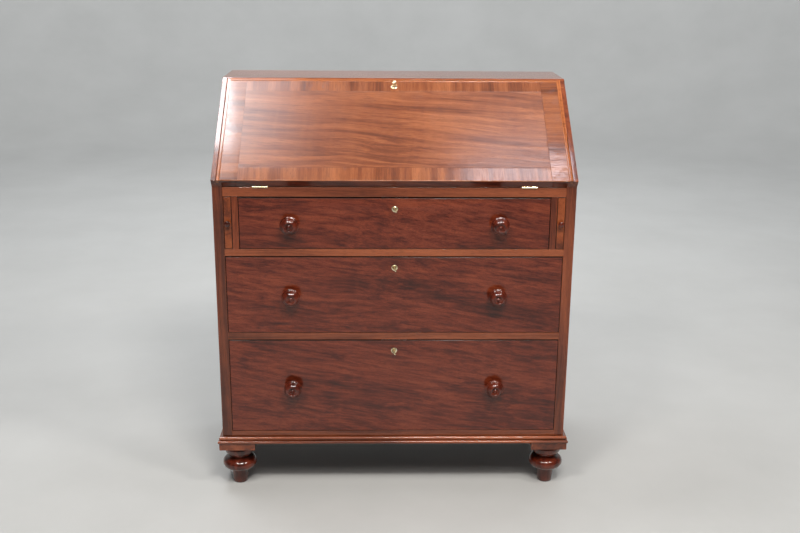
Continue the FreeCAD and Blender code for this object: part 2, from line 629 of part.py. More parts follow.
def make_lock(tag, frame, thick):
    """A half-mortise lock with its sliding bolt, its key and the round escutcheon in front.

    In the lock's frame the key's axis is Y, the board's outer face is y = 0 and the bolt rises along Z."""
    case_y = f"({thick}-lock_thick)"
    bolt_low = f"({thick}-9.4)"
    bolt_high = f"({thick}-4.6)"
    blank = joined(f"lock_blank_{tag}", [
        board(f"lock_case_{tag}", ("-lock_half", "lock_half"), (case_y, thick), (-14, LOCK_RISE), frame),
        board(f"lock_selvedge_{tag}", ("-lock_half-4", "lock_half+4"), (f"{case_y}-2", thick),
              (LOCK_RISE, "key_drop"), frame)])
    chamber = doc.addObject("Part::Cylinder", f"lock_chamber_{tag}")
    chamber.Radius = 8.0
    chamber.Height = 5.4
    put(chamber, frame, y=f"{bolt_high}+0.3", angle=90)
    bore = doc.addObject("Part::Cylinder", f"lock_bore_{tag}")
    bore.Radius = 2.5
    bore.setExpression("Height", bind("lock_thick+1"))
    put(bore, frame, y=f"{thick}-1.5", angle=90)
    channel = board(f"lock_channel_{tag}", (-10.3, 10.3), (f"{bolt_low}-0.3", f"{bolt_high}+0.3"),
                    (6, "key_drop+1"), frame)
    keep(f"lock_{tag}", cut(f"lock_cut_{tag}", blank, [chamber, bore, channel]))
    keep(f"bolt_{tag}", board(f"bolt_{tag}", (-10, 10), (bolt_low, bolt_high), (9, "key_drop-0.3"), frame))

    plate = turned(f"escutcheon_blank_{tag}", [(0, 0), (8, 0, 6), (5.2, -1.1), (0, -1.1)], upright=False)
    put(plate, frame)
    hole = doc.addObject("Part::Cylinder", f"escutcheon_hole_{tag}")
    hole.Radius = 3.0
    hole.Height = 4.0
    put(hole, frame, y=1.5, angle=90)
    slot = board(f"escutcheon_slot_{tag}", (-1.3, 1.3), (-3, 1), (-6.6, 0), frame)
    keep(f"escutcheon_{tag}", cut(f"escutcheon_cut_{tag}", plate, [hole, slot]))

    key = new_body(f"key_{tag}")
    bow = sketch_on(key, "XY_Plane")
    outline(bow, [(-8.2, -16.3, 8.3), (8.2, -16.3, 10)])
    pad(key, bow, "2.4", both_ways=True)
    eye = sketch_on(key, "XY_Plane")
    outline(eye, [(-5, -16.5, 5.1), (5, -16.5, 6.2)])
    pocket(key, eye, "6", both_ways=True)
    stem = sketch_on(key, "XZ_Plane", f"-({thick}-2.6)")
    circle(stem, 0, 0, 2.35)
    pad(key, stem, f"{thick}-2.6+12.6")
    collar = sketch_on(key, "XZ_Plane", "8.2")
    circle(collar, 0, 0, 3.3)
    pad(key, collar, "1.8")
    bit = sketch_on(key, "XZ_Plane", f"-{bolt_high}+0.3")
    outline(bit, rectangle((-1.1, 1.1), (-7, 0)))
    pad(key, bit, f"{bolt_high}-{bolt_low}-0.6")
    keep(f"key_{tag}", put(key, frame, axis=(0, 1, 0), angle="key_turn"))


# ---------------------------------------------------------------- drawers and lopers
KNOB = [(0, 6), (9, 6), (9, 0), (13.5, 0), (14, -2), (11.5, -5), (11, -9), (13, -12.5), (20, -14.5, -4),
        (24, -18.5, -3.2), (22, -23.2), (19.8, -24.6), (21.6, -26.2, -16), (11.5, -38.5), (10, -38.2),
        (9.4, -34.5), (4.6, -34.5, "-(4.6^2+3^2)/(2*3)"), (0, -37.5)]

DRAWERS = (
    ("top", "upper_rail_top", BED_UNDER, "top_drawer_half"),
    ("middle", "lower_rail_top", "(upper_rail_top-rail_thick)", INNER_FACE),
    ("bottom", "bottom_rail_top", "(lower_rail_top-rail_thick)", INNER_FACE),
)


def knob_hole(name, x, z, radius, depth, y=0):
    """The round hole that a knob's tenon fills."""
    hole = doc.addObject("Part::Cylinder", name)
    hole.Radius = radius
    hole.Height = depth
    return put(hole, CASE, x, f"{y}+{depth}", z, angle=90)


def make_drawer(tag, low, high, half):
    """A long drawer: its front with two knobs and a lock, and the box of sides, back and bottom."""
    edge = f"({half}-drawer_gap)"
    front_foot = f"({low}+drawer_lift)"
    foot = f"({low}+runner_clear)"
    head = f"({high}-drawer_drop)"
    middle = f"(({front_foot}+{head})/2-knob_drop)"
    frame = drawer_lock(head)
    blank = board(f"front_blank_{tag}", (f"-{edge}", edge), (0, "drawer_front"), (front_foot, head))
    tools = lock_room(f"room_{tag}", frame, "drawer_front")
    knobs = []
    for hand, way in SIDES:
        tools.append(knob_hole(f"tenon_hole_{tag}_{hand}", f"{way}*knob_spread", middle, 9.0, 6.0))
        knobs.append(put(turned(f"knob_{tag}_{hand}", KNOB, upright=False), x=f"{way}*knob_spread", z=middle))
    keep(f"drawer_{tag}_front", cut(f"front_cut_{tag}", blank, tools))
    group(f"drawer_{tag}_knobs", knobs)
    wall = f"({edge}-0.6)"
    crest = f"({head}-8)"
    deck = f"({foot}+drawer_floor)"
    group(f"drawer_{tag}_box", [
        board(f"wall_left_{tag}", (f"-{wall}", f"-{wall}+drawer_side"), ("drawer_front", "drawer_depth"),
              (foot, crest)),
        board(f"wall_right_{tag}", (f"{wall}-drawer_side", wall), ("drawer_front", "drawer_depth"),
              (foot, crest)),
        board(f"wall_back_{tag}", (f"-{wall}+drawer_side", f"{wall}-drawer_side"),
              ("drawer_depth-drawer_side", "drawer_depth"), (deck, f"{crest}-6")),
        board(f"deck_{tag}", (f"-{wall}+drawer_side", f"{wall}-drawer_side"), ("drawer_front", "drawer_depth"),
              (foot, deck))])
    make_lock(tag, frame, "drawer_front")


def make_lopers():
    """The two pull-out supports of the open fall, each with a stop peg and a small knob."""
    outer = "(top_drawer_half+stile_wide)"
    for hand, way in SIDES:
        ends = sorted((f"{way}*({outer}+loper_gap)", f"{way}*({INNER_FACE}-loper_gap)"), key=number)
        top = f"({BED_UNDER}-0.5)"
        middle = f"((upper_rail_top+{BED_UNDER})/2)"
        centre = f"({way}*({outer}+{INNER_FACE})/2)"
        blank = board(f"loper_blank_{hand}", ends, (0, "loper_length"), ("upper_rail_top+loper_gap", top))
        hole = knob_hole(f"loper_tenon_hole_{hand}", centre, middle, 3.2, 6.0)
        peg = doc.addObject("Part::Cylinder", f"peg_{hand}")
        peg.Radius = 4.0
        peg.Height = 12.0
        put(peg, x=f"{way}*({outer}+5)", y="loper_length-9", z="peg_height", axis=(0, 1, 0), angle=-90 * way)
        whole = joined(f"loper_pegged_{hand}", [blank, peg])
        keep(f"loper_{hand}", cut(f"loper_cut_{hand}", whole, [hole]))
        knob = turned(f"loper_knob_{hand}", [
            (0, 6), (3.2, 6), (3.2, 0), (5, 0), (3.4, -4), (4.2, -6.4), (7.2, -9, -3.2),
            (6.4, -13.4, "-(6.4^2+1.6^2)/(2*1.6)"), (0, -15)],
            upright=False)
        keep(f"loper_knob_{hand}", put(knob, x=centre, z=middle))


# ---------------------------------------------------------------- pigeonhole fitting
def make_interior():
    """The fitting behind the fall: a tier with two small drawers and an open middle, and pigeonholes
    with arched valances above."""
    front = "inner_front"
    depth = (front, BACK_FRONT)
    base = "writing_level"
    shelf = "(writing_level+tier_high)"
    ceiling = "(writing_level+inner_high-inner_wood)"
    shelves = []
    for name, low in (("floor", base), ("shelf", shelf), ("ceiling", ceiling)):
        shelves.append(board(f"fitting_{name}", ("-inner_half", "inner_half"), depth, (low, f"{low}+inner_wood")))
    group("pigeonhole_shelves", shelves)
    uprights = []
    lower = (f"{base}+inner_wood", shelf)
    upper = (f"{shelf}+inner_wood", ceiling)
    for hand, way in SIDES:
        for tag, inner in (("end", "(inner_half-inner_wood)"),
                           ("divider", "(inner_half-2*inner_wood-small_drawer)")):
            ends = sorted((f"{way}*{inner}", f"{way}*({inner}+inner_wood)"), key=number)
            uprights.append(board(f"low_{tag}_{hand}", ends, depth, lower))
            if tag == "end":
                uprights.append(board(f"high_{tag}_{hand}", ends, depth, upper))
    bay = "((2*inner_half-inner_wood)/pigeonholes)"
    count = int(number("pigeonholes"))
    valances = []
    for i in range(count):
        left = f"(-inner_half+{i}*{bay})"
        if i:
            uprights.append(board(f"high_divider_{i}", (left, f"{left}+inner_wood"), depth, upper))
        valances.append(make_valance(i, left, bay, ceiling))
    group("pigeonhole_uprights", uprights)
    group("pigeonhole_valances", valances)
    for hand, way in SIDES:
        near = f"({way}*(inner_half-inner_wood-0.4))"
        far = f"({way}*(inner_half-inner_wood-small_drawer+0.4))"
        low_x, high_x = sorted((near, far), key=number)
        make_small_drawer(f"inner_drawer_{hand}", low_x, high_x, f"({base}+inner_wood+0.3)", f"({shelf}-0.4)")


def make_valance(i, left, bay, ceiling):
    """An arched valance across the head of one pigeonhole, 1 mm behind the fitting's front edge."""
    body = new_body(f"valance_{i}")
    sketch = sketch_on(body, "XZ_Plane")
    reach = f"({bay}-inner_wood)"
    outline(sketch, [(0, -24), (0, 0), (reach, 0), (reach, -24), (f"{reach}-8", -24, f"{reach}*0.85"), (8, -24)])
    pad(body, sketch, "5", backwards=True)
    return put(body, x=f"{left}+inner_wood", y="inner_front+1", z=ceiling)


def make_small_drawer(name, left, right, low, high):
    """A small drawer of thin boards with one turned knob."""
    front = "(inner_front+0.5)"
    rear = f"({BACK_FRONT}-6)"
    middle_x = f"(({left}+{right})/2)"
    middle_z = f"(({low}+{high})/2)"
    hole = knob_hole(name + "_tenon_hole", middle_x, middle_z, 3.0, 4.0, y=front)
    face = cut(name + "_face", board(name + "_front", (left, right), (front, f"{front}+9"), (low, high)), [hole])
    knob = turned(name + "_knob", [(0, 4), (3, 4), (3, 0), (4.6, 0), (3.1, -3.6), (4, -5.6), (7, -8, -3.2),
                                   (6, -12, "-(6^2+1.4^2)/(2*1.4)"), (0, -13.4)], upright=False)
    put(knob, x=middle_x, y=front, z=middle_z)
    group(name, [
        face, knob,
        board(name + "_wall_a", (left, f"{left}+5"), (f"{front}+9", rear), (low, f"{high}-3")),
        board(name + "_wall_b", (f"{right}-5", right), (f"{front}+9", rear), (low, f"{high}-3")),
        board(name + "_wall_c", (f"{left}+5", f"{right}-5"), (f"{rear}-5", rear), (f"{low}+4", f"{high}-5")),
        board(name + "_deck", (f"{left}+5", f"{right}-5"), (f"{front}+9", rear), (low, f"{low}+4"))])


# ---------------------------------------------------------------- build, check and write
make_sides()
make_top()
make_frieze_rail()
make_case_boards()
make_base()
make_hinges()
make_interior()
make_fall()
make_lock("fall", FALL_LOCK, "fall_thick")
for drawer in DRAWERS:
    make_drawer(*drawer)
make_lopers()
doc.recompute()

for item in doc.Objects:
    if "Invalid" in item.State or "Error" in item.State:
        raise RuntimeError(f"{item.Name} ({item.Label}) is {item.State}")
os.makedirs("parts", exist_ok=True)
for piece in NODES:
    shape = piece.Shape
    if shape.isNull() or not shape.isValid():
        raise RuntimeError(f"{piece.Label} has no valid shape")
    shape.exportStep(os.path.join("parts", piece.Label + ".step"))
    print(f"{piece.Label}: {len(shape.Solids)} solids, {shape.Volume / 1000:.1f} cm3")
box = Part.makeCompound([piece.Shape for piece in NODES]).BoundBox
print(f"{len(NODES)} nodes, box {box.XMin:.2f} {box.XMax:.2f}, {box.YMin:.2f} {box.YMax:.2f}, "
      f"{box.ZMin:.2f} {box.ZMax:.2f}")
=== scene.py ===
"""Looks of the slant-front mahogany secretary desk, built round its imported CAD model."""
import math

import bmesh
import bpy
from mathutils import Matrix, Vector


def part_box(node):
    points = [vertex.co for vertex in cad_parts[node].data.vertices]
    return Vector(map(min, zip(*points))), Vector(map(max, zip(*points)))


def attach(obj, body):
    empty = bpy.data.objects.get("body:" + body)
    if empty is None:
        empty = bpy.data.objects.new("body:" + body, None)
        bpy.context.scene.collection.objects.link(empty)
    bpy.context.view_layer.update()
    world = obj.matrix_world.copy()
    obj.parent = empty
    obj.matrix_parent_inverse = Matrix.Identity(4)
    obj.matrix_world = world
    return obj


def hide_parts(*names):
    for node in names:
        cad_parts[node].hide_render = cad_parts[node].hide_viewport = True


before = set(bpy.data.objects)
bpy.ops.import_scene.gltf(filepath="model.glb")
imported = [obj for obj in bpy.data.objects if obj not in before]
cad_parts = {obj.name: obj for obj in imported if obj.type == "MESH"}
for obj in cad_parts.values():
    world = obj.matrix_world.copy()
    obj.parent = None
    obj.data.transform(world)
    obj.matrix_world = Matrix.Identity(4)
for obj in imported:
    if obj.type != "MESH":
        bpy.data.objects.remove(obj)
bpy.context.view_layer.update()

# ---------------------------------------------------------------- the fall's own frame
# The slope of the closed fall and its hinge axis, as in the CAD's table of sizes.
FALL_SLOPE = math.radians(38.5)
HINGE_LINE = Vector((0, -0.20825, 0.837))
UP_SLOPE = Vector((0, math.cos(FALL_SLOPE), math.sin(FALL_SLOPE)))
OUT_OF_SLOPE = Vector((0, -math.sin(FALL_SLOPE), math.cos(FALL_SLOPE)))


# ---------------------------------------------------------------- node trees
class Tree:
    """A material's node tree, with short calls for the nodes the finishes use."""

    def __init__(self, name):
        self.material = bpy.data.materials.new(name)
        self.material.use_nodes = True
        self.tree = self.material.node_tree
        self.shader = self.tree.nodes["Principled BSDF"]

    def put(self, socket, value):
        if isinstance(value, bpy.types.NodeSocket):
            self.tree.links.new(value, socket)
        elif value is not None:
            socket.default_value = value

    def node(self, kind, **settings):
        made = self.tree.nodes.new(kind)
        for key, value in settings.items():
            setattr(made, key, value)
        return made

    def coords(self):
        return self.node("ShaderNodeTexCoord").outputs["Object"]

    def mapped(self, vector, place=(0, 0, 0), turn=(0, 0, 0), scale=(1, 1, 1)):
        made = self.node("ShaderNodeMapping")
        self.put(made.inputs["Vector"], vector)
        made.inputs["Location"].default_value = place
        made.inputs["Rotation"].default_value = turn
        made.inputs["Scale"].default_value = scale
        return made.outputs["Vector"]

    def math(self, operation, a, b=None, c=None):
        made = self.node("ShaderNodeMath", operation=operation)
        for socket, value in zip(made.inputs, (a, b, c)):
            self.put(socket, value)
        return made.outputs[0]

    def vector(self, operation, a, b=None, scale=None):
        made = self.node("ShaderNodeVectorMath", operation=operation)
        self.put(made.inputs[0], a)
        self.put(made.inputs[1], b)
        if scale is not None:
            self.put(made.inputs["Scale"], scale)
        return made.outputs["Vector"]

    def noise(self, vector, scale, detail=4, roughness=0.55, distortion=0, colour=False):
        made = self.node("ShaderNodeTexNoise")
        self.put(made.inputs["Vector"], vector)
        made.inputs["Scale"].default_value = scale
        made.inputs["Detail"].default_value = detail
        made.inputs["Roughness"].default_value = roughness
        made.inputs["Distortion"].default_value = distortion
        return made.outputs["Color" if colour else "Fac"]

    def ramp(self, factor, stops):
        """Stops are pairs of a place from 0 to 1 and a colour, in rising order."""
        made = self.node("ShaderNodeValToRGB")
        points = made.color_ramp.elements
        while len(points) < len(stops):
            points.new(0.5)
        for point, (place, colour) in zip(points, stops):
            point.position = place
            point.color = (*colour, 1)
        self.put(made.inputs["Fac"], factor)
        return made.outputs["Color"]

    def range(self, value, low, high, out_low=0.0, out_high=1.0, smooth=False):
        """The value, taken from low..high to out_low..out_high and held at the ends."""
        made = self.node("ShaderNodeMapRange", clamp=True)
        if smooth:
            made.interpolation_type = "SMOOTHSTEP"
        for socket, number in zip(made.inputs, (value, low, high, out_low, out_high)):
            self.put(socket, number)
        return made.outputs["Result"]

    def mix(self, factor, a, b, blend="MIX"):
        made = self.node("ShaderNodeMix", data_type="RGBA", blend_type=blend)
        self.put(made.inputs[0], factor)
        for socket, value in zip((made.inputs[6], made.inputs[7]), (a, b)):
            if isinstance(value, tuple):
                value = (*value, 1)
            self.put(socket, value)
        return made.outputs[2]

    def split(self, vector):
        made = self.node("ShaderNodeSeparateXYZ")
        self.put(made.inputs[0], vector)
        return made.outputs

    def bump(self, height, distance, strength=1.0, normal=None):
        made = self.node("ShaderNodeBump")
        self.put(made.inputs["Height"], height)
        made.inputs["Distance"].default_value = distance
        made.inputs["Strength"].default_value = strength
        self.put(made.inputs["Normal"], normal)
        return made.outputs["Normal"]

    def piece_shift(self, spread=7.0):
        """A different start in the timber for every piece and every loose solid in it."""
        island = self.node("ShaderNodeAttribute", attribute_name="solid").outputs["Fac"]
        piece = self.node("ShaderNodeObjectInfo").outputs["Random"]
        shift = self.node("ShaderNodeCombineXYZ")
        for socket, factor in zip(shift.inputs, (1.0, 0.61, 0.37)):
            both = self.math("MULTIPLY_ADD", island, spread * factor, self.math("MULTIPLY", piece, spread))
            self.put(socket, both)
        return shift.outputs[0], island

    def set(self, **values):
        """Inputs of the shader by name, with underscores for spaces."""
        for name, value in values.items():
            self.put(self.shader.inputs[name.replace("_", " ")], value)


# ---------------------------------------------------------------- timber
GRAIN_TURN = {"X": (0, 0, 0), "Y": (0, 0, math.pi / 2), "Z": (0, math.pi / 2, 0)}

TIMBERS = {
    # darkest line and deep tone, then body tone and light tone
    "mahogany_show": (
        (0.040, 0.008, 0.004), (0.108, 0.025, 0.010),
        (0.178, 0.045, 0.017), (0.26, 0.072, 0.029)),
    "mahogany_side": (
        (0.034, 0.007, 0.003), (0.088, 0.020, 0.008),
        (0.150, 0.036, 0.013), (0.22, 0.058, 0.022)),
    "mahogany_rail": (
        (0.055, 0.012, 0.005), (0.145, 0.035, 0.013),
        (0.238, 0.063, 0.024), (0.33, 0.096, 0.038)),
    "mahogany_stile": (
        (0.032, 0.006, 0.003), (0.084, 0.016, 0.006),
        (0.150, 0.030, 0.009), (0.21, 0.050, 0.017)),
    "mahogany_loper": (
        (0.045, 0.009, 0.003), (0.115, 0.024, 0.007),
        (0.190, 0.043, 0.011), (0.26, 0.068, 0.020)),
    "mahogany_drawer": (
        (0.018, 0.003, 0.001), (0.058, 0.008, 0.003),
        (0.114, 0.018, 0.007), (0.190, 0.040, 0.016)),
    "mahogany_fall": (
        (0.070, 0.018, 0.007), (0.140, 0.041, 0.016),
        (0.205, 0.064, 0.025), (0.29, 0.105, 0.042)),
    "mahogany_lipping": (
        (0.130, 0.034, 0.010), (0.205, 0.058, 0.017),
        (0.285, 0.086, 0.026), (0.36, 0.120, 0.040)),
    "mahogany_turned": (
        (0.018, 0.003, 0.001), (0.050, 0.007, 0.003),
        (0.095, 0.014, 0.006), (0.140, 0.025, 0.011)),
    "mahogany_inner": (
        (0.090, 0.029, 0.012), (0.165, 0.058, 0.025),
        (0.245, 0.096, 0.044), (0.31, 0.135, 0.066)),
    "secondary_wood": (
        (0.190, 0.098, 0.045), (0.310, 0.172, 0.088),
        (0.410, 0.245, 0.136), (0.49, 0.315, 0.192)),
}
TONE_STOPS = (0.12, 0.36, 0.52, 0.78)


def figure(tree, vector, tones, stripe=42.0, broad=8.0, warp=0.035, lean=0.0, mottle=0.10, pores=0.55,
           depth=1.0):
    """Grain running along the vector's x. Returns its colour and a height for the bump.

    Stripe and broad are how many streaks and patches lie in a metre across the grain, warp how far they
    wander, lean their slant, mottle the light cross figure, pores the open pores and depth the contrast.
    """
    if lean:
        vector = tree.mapped(vector, turn=(0, lean, lean))
    drift = tree.noise(tree.mapped(vector, scale=(1.6, 4.5, 4.5)), 1.0, 2, 0.5, 0.3, colour=True)
    drift = tree.vector("SUBTRACT", drift, (0.5, 0.5, 0.5))
    wavy = tree.vector("ADD", vector, tree.vector("SCALE", drift, scale=warp))
    stripes = tree.noise(tree.mapped(wavy, scale=(2.0, stripe, stripe)), 1.0, 6, 0.62, 0.45)
    patches = tree.noise(tree.mapped(wavy, scale=(1.4, broad, broad)), 1.0, 3, 0.5, 0.7)
    fine = tree.noise(tree.mapped(wavy, scale=(9.0, 420.0, 420.0)), 1.0, 3, 0.6)
    tone = tree.math("MULTIPLY_ADD", patches, 0.8 * depth, tree.math("MULTIPLY", stripes, 1.4 * depth))
    tone = tree.math("ADD", tone, tree.math("MULTIPLY_ADD", fine, 0.5, 0.25 - 1.1 * depth))
    dark, light = tones[0], tones[-1]
    colour = tree.ramp(tone, tuple(zip(TONE_STOPS, tones)))
    across = tree.noise(tree.mapped(wavy, scale=(34.0, 3.5, 3.5)), 1.0, 2, 0.5, 0.4)
    colour = tree.mix(tree.range(across, 0.38, 0.66, 0.0, mottle, True), colour, light)
    pore = tree.noise(tree.mapped(vector, scale=(55.0, 1500.0, 1500.0)), 1.0, 1, 0.5)
    open_pore = tree.range(pore, 0.57, 0.68, 0.0, pores, True)
    colour = tree.mix(open_pore, colour, dark)
    height = tree.math("MULTIPLY_ADD", stripes, 0.5, tree.math("MULTIPLY", open_pore, -0.35))
    return colour, height


# Near-black for arrises that lie by a gap: dirt and painted shade.
ARRIS_DIRT_AND_SHADE = (0.012, 0.005, 0.003)
# How much lighter rubbed arrises are: wear and a painted highlight.
RUBBED_AND_HIGHLIGHT = 1.25
SHADE_OF_PIECES = (0.88, 1.10)


def wear_and_painted_light(tree, colour, light, piece, dirty_shaded=False):
    """Arrises rubbed light, worn and with a painted highlight, or dark with dirt and painted shade where they
    lie by a gap, and a little random tone between pieces.
    """
    arris = tree.node("ShaderNodeAttribute", attribute_name="arris").outputs["Fac"]
    patchiness = tree.noise(tree.coords(), 30.0, 3, 0.6)
    # Dark arrises: dirt and painted shade of the gap they lie by.
    if dirty_shaded:
        amount = tree.math("MULTIPLY", arris, tree.range(patchiness, 0.35, 0.7, 1.0, 0.8))
        colour = tree.mix(amount, colour, ARRIS_DIRT_AND_SHADE)
    else:
        # Light arrises: wear and a painted highlight along the edge.
        amount = tree.math("MULTIPLY", arris, tree.range(patchiness, 0.35, 0.7, 0.15, 0.75))
        colour = tree.mix(amount, colour, tuple(c * RUBBED_AND_HIGHLIGHT for c in light))
    shade = tree.range(piece, 0.0, 1.0, *SHADE_OF_PIECES)
    grey = tree.node("ShaderNodeCombineColor")
    for socket in grey.inputs:
        tree.put(socket, shade)
    return tree.mix(1.0, colour, grey.outputs[0], "MULTIPLY")


RIPPLE, TIMBER_RELIEF = 0.000006, 0.00012
ROUGHER_BELOW = 0.22
SHELLAC_IOR, SHELLAC_TINT = 1.5, (1.0, 0.93, 0.86, 1.0)
TIMBER_SPECULAR = 0.12


def polish(tree, height, gloss=0.9, wave=0.00022, scale=7.0, spread=(0.10, 0.22), blur=0.07,
           grain=0.00004):
    """French polish: a clear coat over the figured timber, lying in slow waves.

    Wave and grain are the heights of the waves and of the grain that shows in the coat, scale how close
    the waves lie, spread how rough the timber under the coat is, and blur how dull the coat has become.
    """
    here = tree.coords()
    slow = tree.noise(tree.mapped(here, scale=(scale, scale * 1.3, scale * 1.3)), 1.0, 2, 0.4)
    fine = tree.noise(here, 95.0, 2, 0.5)
    coat = tree.bump(slow, wave)
    coat = tree.bump(fine, RIPPLE, 1.0, coat)
    coat = tree.bump(height, grain, 1.0, coat)
    tree.put(tree.shader.inputs["Coat Normal"], coat)
    tree.put(tree.shader.inputs["Normal"], tree.bump(height, TIMBER_RELIEF))
    rough = tree.range(tree.noise(here, 11.0, 4, 0.6), 0.3, 0.75, *spread)
    tree.set(Roughness=tree.math("ADD", rough, ROUGHER_BELOW))
    tree.shader.inputs["Coat Weight"].default_value = gloss
    tree.shader.inputs["Coat Roughness"].default_value = blur
    tree.shader.inputs["Coat IOR"].default_value = SHELLAC_IOR
    tree.shader.inputs["Coat Tint"].default_value = SHELLAC_TINT
    tree.shader.inputs["Specular IOR Level"].default_value = TIMBER_SPECULAR


def along_grain(tree, axis, tilted):
    """Object coordinates turned so that x runs along the grain, and a random number for each loose solid."""
    here = tree.coords()
    if tilted:
        here = tree.mapped(here, turn=(-FALL_SLOPE, 0, 0))
    here = tree.mapped(here, turn=GRAIN_TURN[axis])
    shift, island = tree.piece_shift()
    return tree.vector("ADD", here, shift), island


TIMBER_FIGURE = {
    "mahogany_show": dict(warp=0.05),
    "mahogany_side": dict(warp=0.05),
    "mahogany_rail": dict(warp=0.03),
    "mahogany_stile": dict(warp=0.03),
    "mahogany_loper": dict(warp=0.03),
    "mahogany_drawer": dict(stripe=105.0, broad=12.0, warp=0.06, lean=-0.13, mottle=0.08, depth=0.85),
    "mahogany_fall": dict(stripe=50.0, broad=9.0, warp=0.08),
    "mahogany_lipping": dict(stripe=60.0, broad=9.0, warp=0.02, mottle=0.05),
    "mahogany_turned": dict(stripe=70.0, broad=20.0, warp=0.02, mottle=0.05),
    "mahogany_inner": dict(warp=0.05),
    "secondary_wood": dict(stripe=50.0, broad=10.0, warp=0.05, mottle=0.04, pores=0.25),
}
# These timbers get dirt and painted shade on their arrises instead of the painted highlight.
DIRTY_SHADED_TIMBERS = ("mahogany_drawer", "mahogany_loper", "mahogany_stile")
POLISH = {
    "mahogany_inner": dict(gloss=0.35, wave=0.0001, scale=6.0, spread=(0.20, 0.34)),
    "mahogany_turned": dict(gloss=1.0, wave=0.00004, scale=14.0, spread=(0.06, 0.14), blur=0.11),
}
SAWN_RELIEF = 0.0004
_timber = {}


def timber(kind, axis, tilted=False):
    """One kind of wood with its grain along one axis, made once."""
    key = (kind, axis, tilted)
    if key in _timber:
        return _timber[key]
    tree = Tree("_".join((kind, "slope" if tilted else "grain", axis.lower())))
    here, island = along_grain(tree, axis, tilted)
    colour, height = figure(tree, here, TIMBERS[kind], **TIMBER_FIGURE[kind])
    colour = wear_and_painted_light(tree, colour, TIMBERS[kind][3], island, kind in DIRTY_SHADED_TIMBERS)
    tree.set(Base_Color=colour)
    if kind == "secondary_wood":
        tree.put(tree.shader.inputs["Normal"], tree.bump(height, SAWN_RELIEF))
        tree.set(Roughness=tree.range(height, 0.0, 0.5, 0.62, 0.8))
    else:
        polish(tree, height, **POLISH.get(kind, {}))
    _timber[key] = tree.material
    return tree.material


END_BAND, TOP_BAND, LOW_BAND = 0.046, 0.045, 0.043
SEAM_FADE, SEAM_DARK = (0.0002, 0.0009), 0.6
# Painted shade along the fall's top and ends where the lippings meet it: how far it fades in, and how dark it
# is.
RIM_FADE, RIM_SHADE = (0.0004, 0.0022), 0.8
VENEER_POLISH = dict(gloss=1.0, wave=0.0003, scale=5.0, spread=(0.08, 0.2), grain=0.00016)
VENEERS = {
    # turn of the grain, start in the timber, how dull the old polish is there, and the figure
    "field": dict(turn=(0, 0, 0.10), start=(3.1, 1.7, 0.4), blur=0.22,
                  look=dict(stripe=60.0, broad=7.0, warp=0.09, mottle=0.12, depth=0.95)),
    "end_band": dict(turn=(0, 0, 0), start=(9.3, 4.4, 2.0), blur=0.10,
                     look=dict(stripe=46.0, broad=18.0, warp=0.02)),
    "edge_band": dict(turn=(0, 0, math.pi / 2), start=(5.2, 7.9, 1.1), blur=0.16,
                      look=dict(stripe=34.0, broad=16.0, warp=0.02)),
}


def seams():
    """Where the fall's veneers meet: two lines across the slope and two up it."""
    low, high, half = FALL_EXTENT
    return low + LOW_BAND, high - TOP_BAND, half - END_BAND


def on_slope(tree):
    """A place in the fall's own frame, its distance from the fall's middle and how far up the slope it is."""
    here = tree.vector("SUBTRACT", tree.coords(), tuple(HINGE_LINE))
    here = tree.mapped(here, turn=(-FALL_SLOPE, 0, 0))
    x, along, _ = tree.split(here)
    return here, tree.math("ABSOLUTE", x), along


def fall_veneer(part):
    """One veneer of the fall's face, in the fall's own frame, dark along its glue joints, with painted shade
    along its top and ends where the lippings meet it.
    """
    veneer = VENEERS[part]
    tree = Tree("mahogany_fall_" + part)
    here, across, along = on_slope(tree)
    tones = TIMBERS["mahogany_fall"]
    timber_here = tree.vector("ADD", tree.mapped(here, turn=veneer["turn"]), veneer["start"])
    colour, height = figure(tree, timber_here, tones, **veneer["look"])
    _, high, half = FALL_EXTENT
    low_seam, high_seam, side_seam = seams()
    rim = tree.math("MINIMUM", tree.math("SUBTRACT", half, across), tree.math("SUBTRACT", high, along))
    joint = tree.math("ABSOLUTE", tree.math("SUBTRACT", across, side_seam))
    if part != "end_band":
        for level in (low_seam, high_seam):
            joint = tree.math("MINIMUM", joint, tree.math("ABSOLUTE", tree.math("SUBTRACT", along, level)))
    seam_line = tree.range(joint, *SEAM_FADE, SEAM_DARK, 0.0)
    # The seam lines are dark glue joints; the rim line is painted shade by the lippings.
    line = tree.math("MAXIMUM", seam_line, tree.range(rim, *RIM_FADE, RIM_SHADE, 0.0))
    colour = tree.mix(line, colour, tones[0])
    height = tree.math("SUBTRACT", height, line)
    tree.set(Base_Color=wear_and_painted_light(tree, colour, tones[3], tree.noise(here, 3.0)))
    polish(tree, height, blur=veneer["blur"], **VENEER_POLISH)
    return tree.material


def edge_dirt_and_shade():
    """The edges of drawer fronts and rails that lie in the joints: near-black bare timber with old dirt, a
    painted shade of the gaps.
    """
    tree = Tree("edge_dirt_and_shade")
    here = tree.coords()
    cloud = tree.noise(tree.mapped(here, scale=(20.0, 160.0, 160.0)), 1.0, 4, 0.6)
    colour = tree.ramp(cloud, ((0.3, (0.006, 0.003, 0.002)), (0.7, (0.022, 0.010, 0.006))))
    tree.set(Base_Color=colour, Roughness=tree.range(cloud, 0.3, 0.7, 0.75, 0.9))
    tree.put(tree.shader.inputs["Normal"], tree.bump(cloud, 0.0002))
    tree.shader.inputs["Specular IOR Level"].default_value = 0.1
    return tree.material


